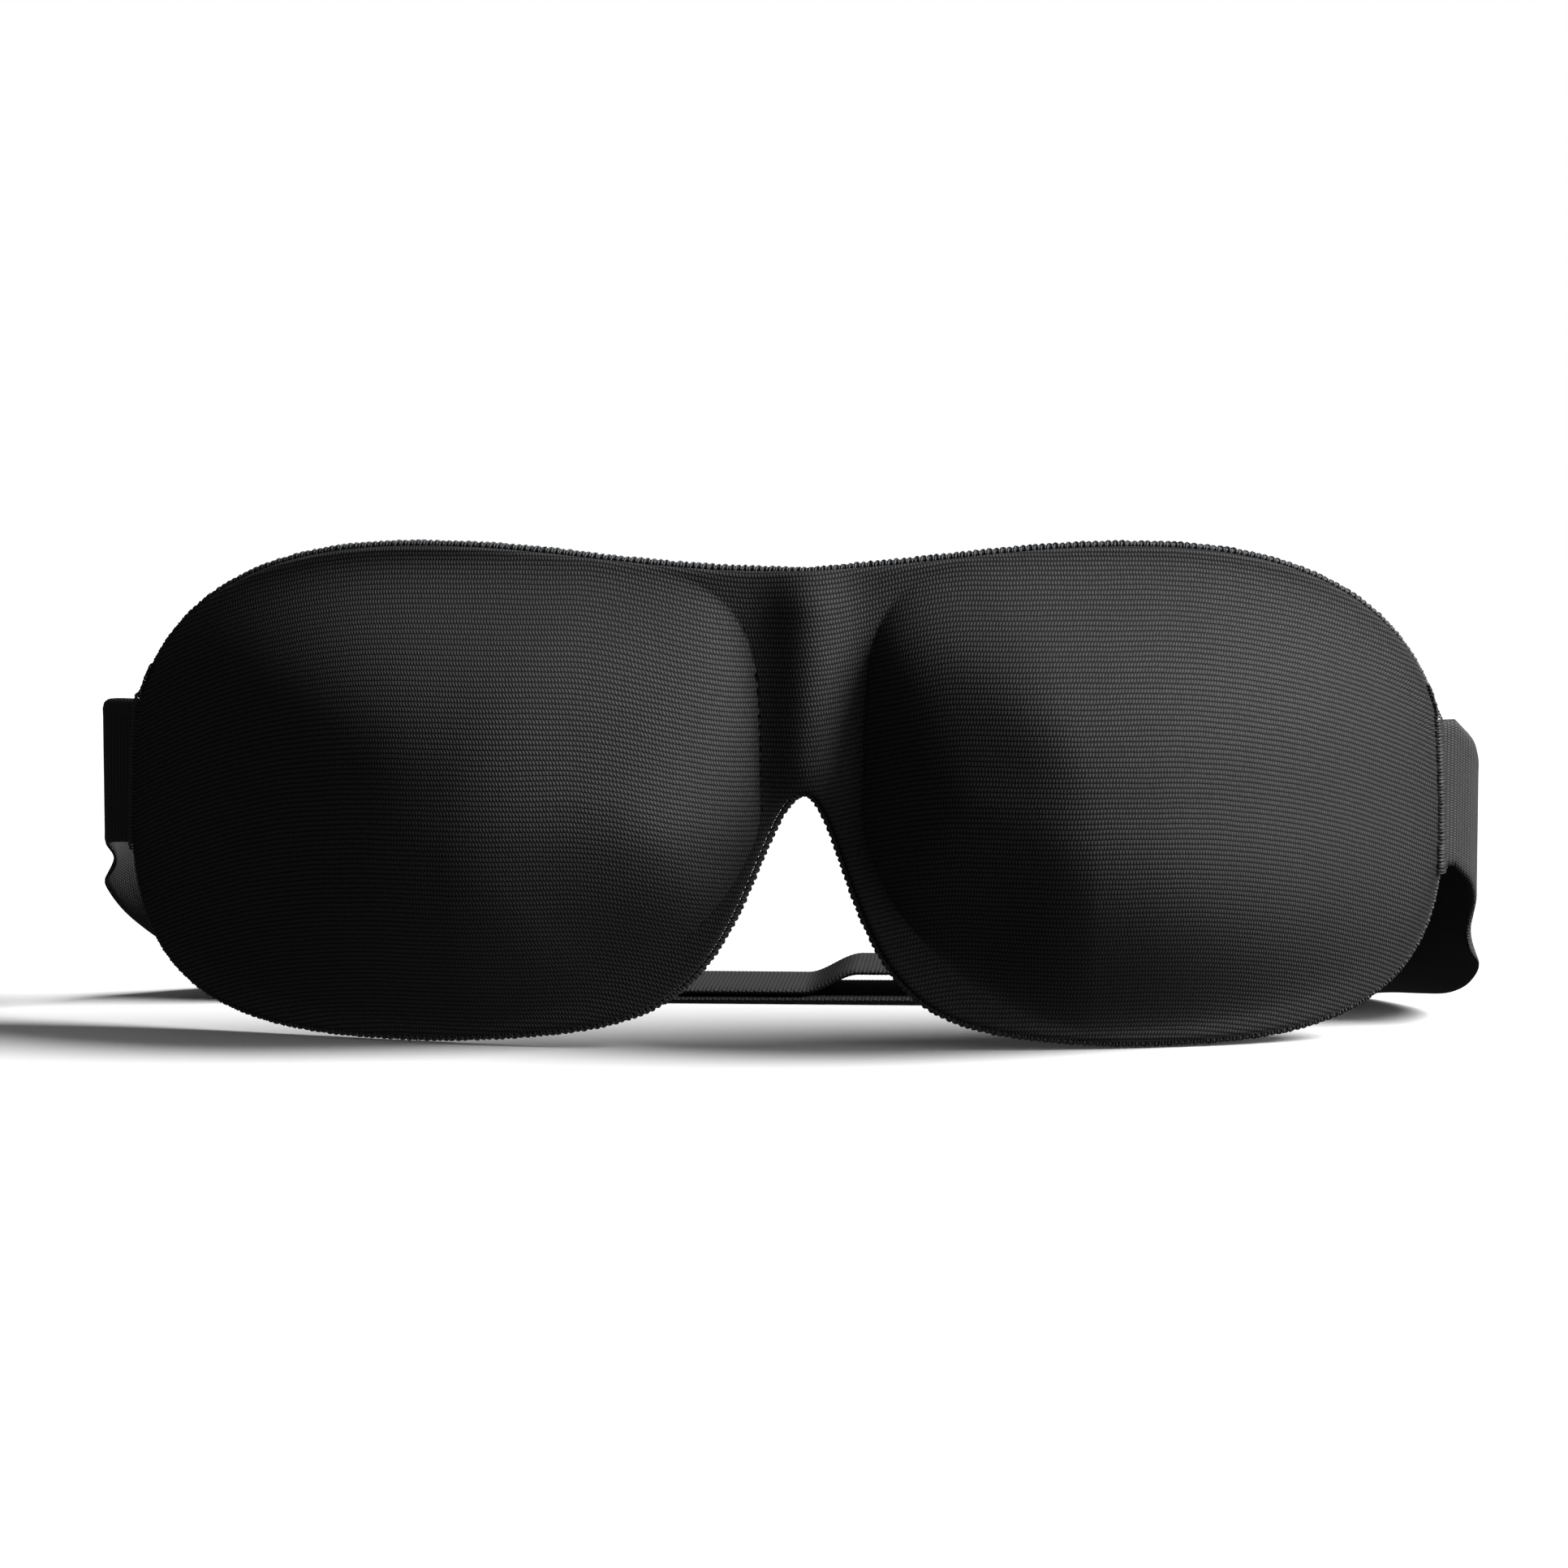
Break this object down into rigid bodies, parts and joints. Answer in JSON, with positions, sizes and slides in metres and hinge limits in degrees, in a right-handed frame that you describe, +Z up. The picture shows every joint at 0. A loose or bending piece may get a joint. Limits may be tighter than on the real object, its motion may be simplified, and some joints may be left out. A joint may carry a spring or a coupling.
{
  "type": "sleep eye mask",
  "caption": "Contoured sleep eye mask with moulded eye cups, a nose notch, an overlocked rim and an adjustable elastic head strap.",
  "frame": {"origin": "on the surface the mask stands on, at the middle of the outline", "axes": "+X along the mask, +Y from the mask's front to its head strap, +Z up"},
  "size_m": [0.2404, 0.1032, 0.084],
  "materials": {
    "outer_knit": "fine black weft knit with a soft grey sheen",
    "inner_knit": "smooth skin-side knit, dark charcoal",
    "foam": "moulded soft foam",
    "rim_thread": "overlocked edge thread",
    "webbing": "ribbed elastic webbing",
    "sewing_thread": "zigzag sewing thread",
    "adjuster_plastic": "satin moulded plastic"
  },
  "bodies": {
    "mask": {"face_cover": "outer_knit", "foam_core": "foam", "face_lining": "inner_knit", "edge_rim": "rim_thread", "strap_tab_left": "webbing", "strap_tab_right": "webbing", "side_bartack_left": "sewing_thread", "side_bartack_right": "sewing_thread"},
    "strap": {"strap_left": "webbing", "strap_right": "webbing", "strap_return": "webbing", "ring_loop_stitching": "sewing_thread"},
    "ring": {"ring": "adjuster_plastic"},
    "slider": {"slider": "adjuster_plastic", "strap_end": "webbing", "slider_loop_stitching": "sewing_thread"}
  },
  "joints": [
    {"name": "strap_swing", "type": "hinge", "parent": "mask", "child": "strap", "pos_m": [0, -0.00318, 0.0423], "axis": [1, 0, 0], "range_deg": [0, 40]},
    {"name": "ring_swing", "type": "hinge", "parent": "strap", "child": "ring", "pos_m": [-0.046, 0.03682, 0.0033], "axis": [0, 1, 0], "range_deg": [-4, 4]},
    {"name": "slider_slide", "type": "slide", "parent": "strap", "child": "slider", "axis": [-1, 0, 0], "range_m": [0, 0.034], "deforming": ["strap_return"]}
  ]
}
